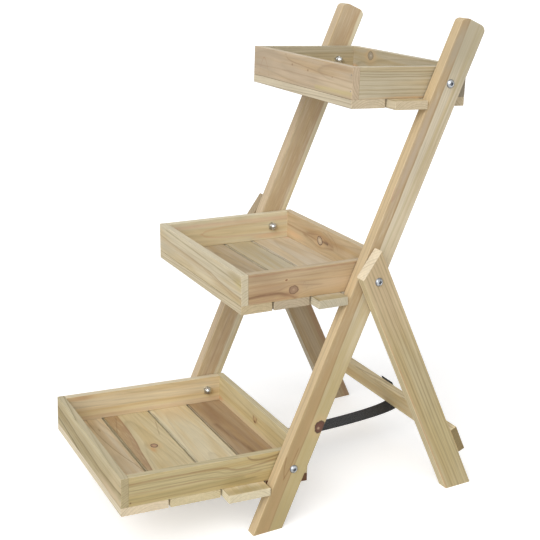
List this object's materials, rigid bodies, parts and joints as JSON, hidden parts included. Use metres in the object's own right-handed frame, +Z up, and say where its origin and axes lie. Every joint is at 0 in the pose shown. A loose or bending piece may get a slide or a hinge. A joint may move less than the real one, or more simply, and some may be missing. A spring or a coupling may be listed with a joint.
{
  "type": "plant ladder stand",
  "caption": "Folding softwood plant ladder: two leaning front legs carry slatted trays on bolts, and hinged rear legs are held by a webbing strap.",
  "frame": {"origin": "on the floor, midway across the width and midway between the frontmost and rearmost points", "axes": "+X to the right seen from the front, +Y to the rear, +Z up"},
  "size_m": [0.4504, 0.6382, 0.789],
  "materials": {
    "front_legs": "planed pressure-treated pine, matt",
    "rear_legs": "planed pressure-treated pine with strong grain, matt",
    "rail": "planed pressure-treated pine, matt",
    "boards": "planed pressure-treated pine, pale yellow-green, matt",
    "slats": "planed pressure-treated pine, matt",
    "heartwood_slat": "planed pine heartwood, brown, matt",
    "zinc": "bright zinc plate",
    "fasteners": "zinc-plated steel",
    "webbing": "woven polypropylene webbing, charcoal"
  },
  "bodies": {
    "front_frame": {"left_front_leg": "front_legs", "right_front_leg": "front_legs", "bottom_bolts": "zinc", "middle_bolts": "zinc", "top_bolts": "zinc", "bottom_cap_nuts": "zinc", "middle_cap_nuts": "zinc", "top_cap_nuts": "zinc", "tray_washers": "zinc", "leg_washers": "zinc"},
    "rear_frame": {"left_rear_leg": "rear_legs", "right_rear_leg": "rear_legs", "rear_cross_rail": "rail", "rail_screws": "fasteners", "strap": "webbing", "strap_rail_screws": "fasteners"},
    "bottom_tray": {"bottom_front_board": "boards", "bottom_rear_board": "boards", "bottom_left_side": "boards", "bottom_right_side": "boards", "bottom_slat_1": "slats", "bottom_slat_2": "slats", "bottom_stop_slat": "slats", "bottom_slat_4": "heartwood_slat", "bottom_nails": "fasteners", "strap_tray_screws": "fasteners"},
    "middle_tray": {"middle_front_board": "boards", "middle_rear_board": "boards", "middle_left_side": "boards", "middle_right_side": "boards", "middle_slat_1": "slats", "middle_slat_2": "slats", "middle_stop_slat": "slats", "middle_slat_4": "slats", "middle_nails": "fasteners"},
    "top_tray": {"top_front_board": "boards", "top_rear_board": "boards", "top_left_side": "boards", "top_right_side": "boards", "top_slat_1": "slats", "top_stop_slat": "slats", "top_slat_3": "slats", "top_nails": "fasteners"}
  },
  "joints": [
    {"name": "rear_legs_fold", "type": "hinge", "parent": "front_frame", "child": "rear_frame", "pos_m": [0, 0.11199, 0.39804], "axis": [-1, 0, 0], "range_deg": [0, 42.3], "deforming": ["strap"]},
    {"name": "bottom_tray_swing", "type": "hinge", "parent": "front_frame", "child": "bottom_tray", "pos_m": [0, -0.03511, 0.10041], "axis": [-1, 0, 0], "range_deg": [0, 65]},
    {"name": "middle_tray_swing", "type": "hinge", "parent": "front_frame", "child": "middle_tray", "pos_m": [0, 0.11199, 0.39804], "axis": [-1, 0, 0], "range_deg": [0, 113.5]},
    {"name": "top_tray_swing", "type": "hinge", "parent": "front_frame", "child": "top_tray", "pos_m": [0, 0.25688, 0.69119], "axis": [-1, 0, 0], "range_deg": [0, 111.5]}
  ]
}
